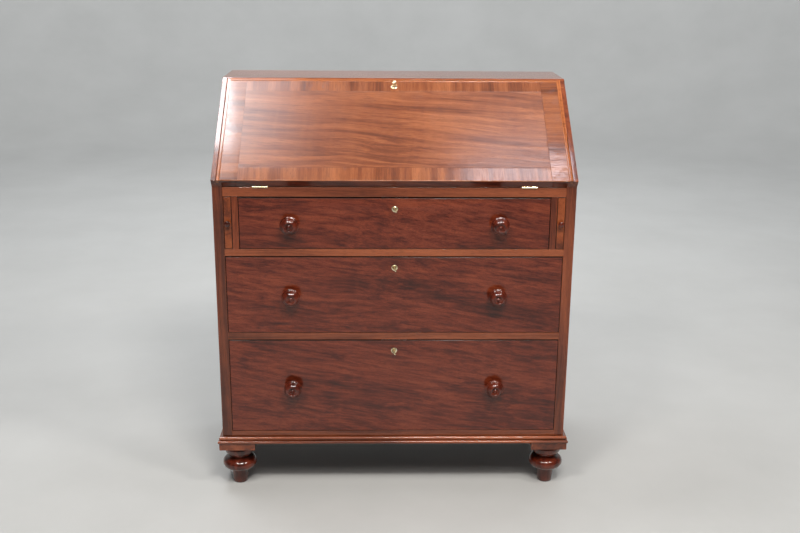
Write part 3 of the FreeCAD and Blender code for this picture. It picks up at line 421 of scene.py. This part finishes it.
# ---------------------------------------------------------------- metal, leather
def brass():
    """Old brass, bright where it is handled and browner in its tarnish, with fine brush marks."""
    tree = Tree("brass_fitting")
    here = tree.coords()
    tarnish = tree.noise(here, 220.0, 4, 0.6)
    brushed = tree.noise(tree.mapped(here, scale=(900, 2600, 2600)), 1.0, 2, 0.5)
    colour = tree.ramp(tarnish, ((0.30, (0.62, 0.45, 0.20)), (0.50, (0.93, 0.80, 0.52)),
                                 (0.72, (0.98, 0.93, 0.74))))
    tree.set(Base_Color=colour, Metallic=1.0, Roughness=tree.range(tarnish, 0.3, 0.7, 0.30, 0.12))
    tree.put(tree.shader.inputs["Normal"], tree.bump(brushed, 0.00002))
    return tree.material


def iron():
    """Grey iron of the lock cases, with a brown bloom."""
    tree = Tree("lock_iron")
    here = tree.coords()
    bloom = tree.noise(here, 160.0, 5, 0.65)
    colour = tree.ramp(bloom, ((0.35, (0.10, 0.085, 0.07)), (0.55, (0.30, 0.29, 0.28)),
                               (0.78, (0.42, 0.40, 0.38))))
    tree.set(Base_Color=colour, Metallic=0.9, Roughness=tree.range(bloom, 0.3, 0.7, 0.55, 0.34))
    tree.put(tree.shader.inputs["Normal"], tree.bump(bloom, 0.00008))
    return tree.material


# Distance of each gilt line from the leather's edge, and half its width.
GILT_LINES = ((0.010, 0.0013), (0.0155, 0.0005), (0.030, 0.0005))
GILT = (0.80, 0.58, 0.24)


def leather():
    """Green skiver with three gilt lines, laid out from the sheet's own edges."""
    tree = Tree("writing_skin")
    here, across, along = on_slope(tree)
    low, high, half = LEATHER_EXTENT
    end_gap = tree.math("SUBTRACT", half, across)
    edge_gap = tree.math("MINIMUM", tree.math("SUBTRACT", along, low), tree.math("SUBTRACT", high, along))
    gap = tree.math("MINIMUM", end_gap, edge_gap)
    lines = None
    for centre, width in GILT_LINES:
        off = tree.math("ABSOLUTE", tree.math("SUBTRACT", gap, centre))
        line = tree.range(off, width * 0.8, width, 1.0, 0.0)
        lines = line if lines is None else tree.math("MAXIMUM", lines, line)
    crackle = tree.node("ShaderNodeTexVoronoi", feature="DISTANCE_TO_EDGE")
    tree.put(crackle.inputs["Vector"], here)
    crackle.inputs["Scale"].default_value = 650.0
    grain = tree.range(crackle.outputs["Distance"], 0.0, 0.25, 0.0, 1.0, True)
    tone = tree.noise(here, 9.0, 5, 0.6)
    colour = tree.ramp(tone, ((0.3, (0.020, 0.052, 0.030)), (0.5, (0.035, 0.085, 0.048)),
                              (0.72, (0.070, 0.125, 0.066))))
    colour = tree.mix(tree.math("MULTIPLY", grain, 0.3), colour, (0.075, 0.14, 0.075))
    gilt_wear = tree.range(tree.noise(here, 320.0, 2), 0.36, 0.5, 0.35, 1.0)
    gilt = tree.math("MULTIPLY", lines, gilt_wear)
    tree.set(Base_Color=tree.mix(gilt, colour, GILT), Metallic=gilt)
    tree.set(Roughness=tree.math("MULTIPLY_ADD", gilt, -0.2, 0.5))
    tree.put(tree.shader.inputs["Normal"], tree.bump(tree.math("SUBTRACT", grain, lines), 0.00012))
    return tree.material


# ---------------------------------------------------------------- copies with eased arrises
def corners_in_slope(node):
    """Lowest and highest distance up the slope, and half the width, of a node of the fall."""
    along = [(v.co - HINGE_LINE).dot(UP_SLOPE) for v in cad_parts[node].data.vertices]
    wide = max(abs(v.co.x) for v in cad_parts[node].data.vertices)
    return min(along), max(along), wide


FALL_EXTENT = corners_in_slope("fall_panel")
LEATHER_EXTENT = corners_in_slope("writing_leather")
# Faces flatter than this to each other, in radians, are one face; edges sharper than SHARP are arrises.
PLANAR = 0.004
SHARP = math.radians(30)
SHORTEST_ARRIS = 8
# How much of a turn each millimetre along x, y and z adds to a solid's own number.
SOLID_STEPS = (0.7548777, 0.5698403, 0.3819660)
SMOOTH_FLAT, SMOOTH_TURNED = math.radians(35), math.radians(40)


def islands(mesh_edit):
    """The loose solids of a mesh, as lists of faces."""
    seen = set()
    for start in mesh_edit.faces:
        if start in seen:
            continue
        found, waiting = [start], [start]
        seen.add(start)
        while waiting:
            face = waiting.pop()
            for edge in face.edges:
                for other in edge.link_faces:
                    if other not in seen:
                        seen.add(other)
                        found.append(other)
                        waiting.append(other)
        yield found


def solid_number(faces):
    """A number from 0 to 1 for a solid, from where its middle lies, so that it is the same every time."""
    points = [v.co for f in faces for v in f.verts]
    middle = [round(500 * (min(p[i] for p in points) + max(p[i] for p in points))) for i in range(3)]
    return sum(m * step for m, step in zip(middle, SOLID_STEPS)) % 1.0


def longest(faces, tilted):
    """The axis along which a solid is longest."""
    points = [v.co.copy() for f in faces for v in f.verts]
    if tilted:
        points = [Vector((p.x, p.dot(UP_SLOPE), p.dot(OUT_OF_SLOPE))) for p in points]
    spans = [max(p[i] for p in points) - min(p[i] for p in points) for i in range(3)]
    return "XYZ"[spans.index(max(spans))]


def eased(node, body, kind, ease=0.0007, tilted=False, turned=False, axis_of=None, wood=None, cuts=()):
    """A copy of a CAD node with its arrises eased, which rides with the body and stands for the node.

    Kind is the timber, unless wood names another. Axis_of gives a face its grain
    direction or its own material; without it the grain runs along each solid's longest side. Cuts are
    planes that part its faces where the material changes.
    """
    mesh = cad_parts[node].data.copy()
    mesh.name = node + "_eased"
    mesh.materials.clear()
    edit = bmesh.new()
    edit.from_mesh(mesh)
    bmesh.ops.remove_doubles(edit, verts=edit.verts, dist=1e-6)
    bmesh.ops.dissolve_limit(edit, angle_limit=PLANAR, verts=edit.verts, edges=edit.edges)
    arris = edit.faces.layers.float.new("arris")
    solid = edit.faces.layers.float.new("solid")
    if ease:
        chosen = [e for e in edit.edges if len(e.link_faces) == 2 and e.is_convex
                  and e.calc_face_angle() > SHARP and e.calc_length() > SHORTEST_ARRIS * ease]
        made = bmesh.ops.bevel(edit, geom=chosen, offset=ease, segments=3, profile=0.5,
                               affect="EDGES", clamp_overlap=False)
        for face in made["faces"]:
            face[arris] = 1.0
    for point, across in cuts:
        everything = edit.verts[:] + edit.edges[:] + edit.faces[:]
        bmesh.ops.bisect_plane(edit, geom=everything, plane_co=point, plane_no=across)
    materials = []
    for faces in islands(edit):
        whole, number = longest(faces, tilted), solid_number(faces)
        for face in faces:
            face[solid] = number
            axis = axis_of(face) if axis_of else whole
            if axis not in materials:
                materials.append(axis)
            face.material_index = materials.index(axis)
    for axis in materials:
        own = isinstance(axis, bpy.types.Material)
        mesh.materials.append(axis if own else timber(wood or kind, axis, tilted))
    edit.to_mesh(mesh)
    edit.free()
    mesh.shade_smooth()
    mesh.set_sharp_from_angle(angle=SMOOTH_TURNED if turned else SMOOTH_FLAT)
    piece = bpy.data.objects.new(node + "_finished", mesh)
    bpy.context.scene.collection.objects.link(piece)
    if not turned:
        weighted = piece.modifiers.new("flat_faces", "WEIGHTED_NORMAL")
        weighted.keep_sharp = True
    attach(piece, body)
    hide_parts(node)


MOULDING_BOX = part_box("base_mouldings")
WITHIN_SIDE = 0.011


def moulding_axis(face):
    """The front moulding runs along x and the two side mouldings along y, mitred at the corners."""
    centre = face.calc_center_median()
    lo, hi = MOULDING_BOX
    beside = abs(centre.x) - hi.x
    before = lo.y - centre.y
    return "Y" if beside > before else "X"


def box_axis(node):
    """Grain direction of a face of a drawer box, from the board that it belongs to."""
    _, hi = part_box(node)

    def axis(face):
        return "Y" if abs(face.calc_center_median().x) > hi.x - WITHIN_SIDE else "X"
    return axis


# Near-black edge material: dirt and painted shade in the joints.
EDGE_DIRT_AND_SHADE = edge_dirt_and_shade()
# How deep the dirt and painted shade reach into the joint.
SHADE_AND_DIRT_DEPTH = 0.005


def shade_and_dirt_line(node):
    """Where the dirt and painted shade of the joint end on the edges of a drawer front or loper, along y."""
    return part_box(node)[0].y + SHADE_AND_DIRT_DEPTH


def shade_and_dirt_cut(node):
    """The plane that parts the front of those edges, with their dirt and painted shade, from the clean rest.
    """
    return [(Vector((0, shade_and_dirt_line(node), 0)), Vector((0, 1, 0)))]


def front_axis(node, grain):
    """Grain of a drawer front or loper, whose edges take dirt and painted shade where they lie in the joint.
    """
    end = shade_and_dirt_line(node)

    def axis(face):
        beside = max(abs(face.normal.x), abs(face.normal.z)) > 0.9
        return EDGE_DIRT_AND_SHADE if beside and face.calc_center_median().y < end else grain
    return axis


def frieze_axis(face):
    """The frieze rail's upper arris and underside lie in joints and take dirt and painted shade."""
    arris = 0.35 < face.normal.z < 0.98
    underside = face.normal.z < -0.35
    return EDGE_DIRT_AND_SHADE if arris or underside else "X"


# ---------------------------------------------------------------- the pieces
SHOW = "mahogany_show"
CRISP, INNER_EASE, PLAIN_EASE, DRAWER_EASE = 0.0003, 0.0004, 0.0006, 0.0008
FRIEZE_EASE, LIPPING_EASE, FALL_EASE = 0.0015, 0.0016, 0.0020

eased("side_left", "carcass", SHOW, wood="mahogany_side")
eased("side_right", "carcass", SHOW, wood="mahogany_side")
eased("top_board", "carcass", SHOW)
eased("frieze_rail", "carcass", SHOW, FRIEZE_EASE, axis_of=frieze_axis)
eased("drawer_rails", "carcass", SHOW, CRISP, wood="mahogany_rail")
eased("bottom_rail", "carcass", SHOW, CRISP)
eased("loper_stiles", "carcass", SHOW, CRISP, wood="mahogany_stile")
eased("writing_bed", "carcass", "mahogany_inner", INNER_EASE)
for name in ("dustboards", "loper_partitions", "back_boards"):
    eased(name, "carcass", "secondary_wood", PLAIN_EASE)
# The bottom board's underside takes the near-black edge material: painted shade under the desk.
eased("bottom_board", "carcass", "secondary_wood", PLAIN_EASE,
      axis_of=lambda face: EDGE_DIRT_AND_SHADE if face.normal.z < -0.5 else "X")
eased("base_mouldings", "carcass", "mahogany_turned", 0, axis_of=moulding_axis, wood="mahogany_rail")
for name in ("front_feet", "rear_feet"):
    eased(name, "carcass", "mahogany_turned", 0, turned=True, axis_of=lambda face: "Z")
eased("foot_blocks", "carcass", SHOW, PLAIN_EASE)
for name in ("pigeonhole_shelves", "pigeonhole_uprights", "pigeonhole_valances"):
    eased(name, "carcass", "mahogany_inner", INNER_EASE)

FALL_FACE = {part: fall_veneer(part) for part in VENEERS}


def seam_cuts():
    """The planes that part the face into field and bands, as points and directions."""
    low_seam, high_seam, side_seam = seams()
    planes = [(HINGE_LINE + UP_SLOPE * level, UP_SLOPE) for level in (low_seam, high_seam)]
    return planes + [(Vector((x, 0, 0)), Vector((1, 0, 0))) for x in (-side_seam, side_seam)]


def fall_axis(face):
    """The outer face is veneered in bands round a field; the down-facing bottom edge takes the darker drawer
    timber as a painted shade under the lip; the rest of the panel is plain timber.
    """
    # Painted shade: the down-facing bottom edge takes the darker drawer timber.
    if face.normal.dot(UP_SLOPE) < -0.99:
        return timber("mahogany_drawer", "X")
    if face.normal.dot(OUT_OF_SLOPE) < 0.6:
        return "X"
    centre = face.calc_center_median()
    low_seam, high_seam, side_seam = seams()
    if abs(centre.x) > side_seam:
        return FALL_FACE["end_band"]
    along = (centre - HINGE_LINE).dot(UP_SLOPE)
    return FALL_FACE["field" if low_seam < along < high_seam else "edge_band"]


eased("fall_panel", "fall", "mahogany_fall", FALL_EASE, tilted=True, axis_of=fall_axis, cuts=seam_cuts())
eased("fall_lippings", "fall", "mahogany_lipping", LIPPING_EASE, tilted=True)

for tag in ("top", "middle", "bottom"):
    body, front, box = f"{tag}_drawer", f"drawer_{tag}_front", f"drawer_{tag}_box"
    eased(front, body, "mahogany_drawer", DRAWER_EASE, axis_of=front_axis(front, "X"), cuts=shade_and_dirt_cut(front))
    eased(box, body, "secondary_wood", INNER_EASE, axis_of=box_axis(box))
    eased(f"drawer_{tag}_knobs", body, "mahogany_turned", 0, turned=True, axis_of=lambda face: "Y")

for side in ("left", "right"):
    body, loper = f"{side}_loper", f"loper_{side}"
    eased(loper, body, "mahogany_lipping", DRAWER_EASE, wood="mahogany_loper",
          axis_of=front_axis(loper, "Y"), cuts=shade_and_dirt_cut(loper))
    eased(f"loper_knob_{side}", body, "mahogany_turned", 0, turned=True, axis_of=lambda face: "Y")
    eased(f"inner_drawer_{side}", f"{side}_inner_drawer", "mahogany_inner", INNER_EASE)

# Fittings and the leather keep their CAD shapes and only take a finish, by the start of their names.
BRASS = brass()
FINISHES = {"lock": iron(), "writing_leather": leather()}
FINISHES.update({start: BRASS for start in ("escutcheon", "hinge", "key", "strike", "bolt")})
for name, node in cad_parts.items():
    for start, finish in FINISHES.items():
        if name.startswith(start):
            node.data.materials.clear()
            node.data.materials.append(finish)

# ---------------------------------------------------------------- studio
FLAT_RADIUS, COVE_RADIUS, WALL_TOP = 5.2, 2.2, 5.5
AROUND, COVE_STEPS = 96, 14
FLOOR_TONES = ((0.3, (0.42, 0.42, 0.41)), (0.7, (0.46, 0.46, 0.45)))


def studio_bowl():
    """A round pale floor that curves up into a pale wall on every side."""
    ring = [(0.0, 0.0)]
    for i in range(COVE_STEPS + 1):
        turn = math.pi / 2 * i / COVE_STEPS
        ring.append((FLAT_RADIUS + COVE_RADIUS * math.sin(turn), COVE_RADIUS * (1 - math.cos(turn))))
    ring.append((FLAT_RADIUS + COVE_RADIUS, WALL_TOP))
    edit = bmesh.new()
    rows = []
    for radius, height in ring:
        turns = [2 * math.pi * k / AROUND for k in range(AROUND if radius else 1)]
        rows.append([edit.verts.new((radius * math.cos(t), radius * math.sin(t), height)) for t in turns])
    for lower, upper in zip(rows, rows[1:]):
        for k in range(AROUND):
            after = (k + 1) % AROUND
            corners = [lower[k % len(lower)], lower[after % len(lower)], upper[after], upper[k]]
            edit.faces.new(list(dict.fromkeys(corners)))
    bmesh.ops.recalc_face_normals(edit, faces=edit.faces)
    mesh = bpy.data.meshes.new("studio_floor")
    edit.to_mesh(mesh)
    edit.free()
    mesh.shade_smooth()
    tree = Tree("studio_floor")
    cloud = tree.noise(tree.coords(), 2.2, 5, 0.6)
    tree.set(Base_Color=tree.ramp(cloud, FLOOR_TONES), Roughness=0.6)
    mesh.materials.append(tree.material)
    bowl = bpy.data.objects.new("studio_floor", mesh)
    bpy.context.scene.collection.objects.link(bowl)


SKY_RIM, SKY_OVERHEAD, SKY_STRENGTH = (0.78, 0.80, 0.84, 1), (0.16, 0.17, 0.18, 1), 0.26


def studio_sky():
    """A soft sky, pale at the rim and dimmer overhead."""
    world = bpy.data.worlds.new("studio_sky")
    world.use_nodes = True
    nodes, links = world.node_tree.nodes, world.node_tree.links
    height = nodes.new("ShaderNodeSeparateXYZ")
    links.new(nodes.new("ShaderNodeTexCoord").outputs["Generated"], height.inputs[0])
    ramp = nodes.new("ShaderNodeValToRGB")
    ramp.color_ramp.elements[0].color = SKY_RIM
    ramp.color_ramp.elements[1].color = SKY_OVERHEAD
    ramp.color_ramp.elements[1].position = 0.9
    links.new(height.outputs[2], ramp.inputs["Fac"])
    links.new(ramp.outputs["Color"], nodes["Background"].inputs["Color"])
    nodes["Background"].inputs["Strength"].default_value = SKY_STRENGTH
    bpy.context.scene.world = world


def soft_light(name, place, target, size, power, colour):
    """A soft box at a place, turned towards its target, of a width and height in metres, in watts."""
    data = bpy.data.lights.new(name, "AREA")
    data.shape = "RECTANGLE"
    data.size, data.size_y = size
    data.energy = power
    data.color = colour
    light = bpy.data.objects.new(name, data)
    light.location = place
    light.rotation_euler = (Vector(target) - Vector(place)).to_track_quat("-Z", "Y").to_euler()
    bpy.context.scene.collection.objects.link(light)


studio_bowl()
studio_sky()

WARM, COOL, SKYLIGHT = (1.0, 0.965, 0.92), (0.94, 0.97, 1.0), (0.80, 0.88, 1.0)
DESK = (0.0, -0.2, 0.5)
SOFT_LIGHTS = (
    # The room's lamps, which light the front and glint on knobs, feet and mouldings.
    ("key_middle", (0.45, -2.1, 3.2), DESK, (0.80, 0.36), 62, WARM),
    ("key_left", (-1.0, -1.95, 3.2), DESK, (0.60, 0.42), 42, WARM),
    ("key_right", (1.75, -1.45, 3.1), DESK, (0.50, 0.30), 36, WARM),
    # What the fall mirrors: the glare down its left end, and the haze beside it and at its lower right.
    ("window", (-0.90, 0.32, 3.0), (-0.90, 0.32, 0.0), (0.38, 0.70), 18, COOL),
    ("window_low", (-0.90, -0.14, 3.0), (-0.90, -0.14, 0.0), (0.40, 0.18), 0.9, COOL),
    ("window_haze", (-0.62, 0.22, 3.02), (-0.62, 0.22, 0.0), (0.40, 0.56), 3.4, SKYLIGHT),
    ("ceiling_right", (0.60, -0.16, 3.0), (0.60, -0.16, 0.0), (0.50, 0.22), 4.6, SKYLIGHT),
    # The wall behind and the floor in front.
    ("wall_wash", (0.0, 1.6, 4.6), (0.0, 6.8, 1.0), (5.0, 1.2), 330, COOL),
    ("floor_front", (0.0, -3.4, 4.2), (0.0, -2.2, 0.0), (3.0, 1.5), 80, WARM),
)
for light in SOFT_LIGHTS:
    soft_light(*light)


# ---------------------------------------------------------------- camera
PITCH, YAW, ROLL = math.radians(16.549), math.radians(-1.316), math.radians(0.435)
EYE = (-0.0445, -2.7546, 1.3859)
SENSOR_WIDTH, FOCAL_LENGTH = 36, 46.45
level = Vector((-math.sin(YAW), math.cos(YAW), 0))
ahead = level * math.cos(PITCH) + Vector((0, 0, -math.sin(PITCH)))
right = ahead.cross(Vector((0, 0, 1))).normalized()
upward = right.cross(ahead)
right, upward = (right * math.cos(ROLL) + upward * math.sin(ROLL),
                 upward * math.cos(ROLL) - right * math.sin(ROLL))
lens = bpy.data.cameras.new("camera")
lens.sensor_width = SENSOR_WIDTH
lens.lens = FOCAL_LENGTH
camera = bpy.data.objects.new("camera", lens)
axes = Matrix((right, upward, -ahead)).transposed().to_4x4()
camera.matrix_world = Matrix.Translation(EYE) @ axes
bpy.context.scene.collection.objects.link(camera)
bpy.context.scene.camera = camera
bpy.context.scene.view_settings.view_transform = "Standard"
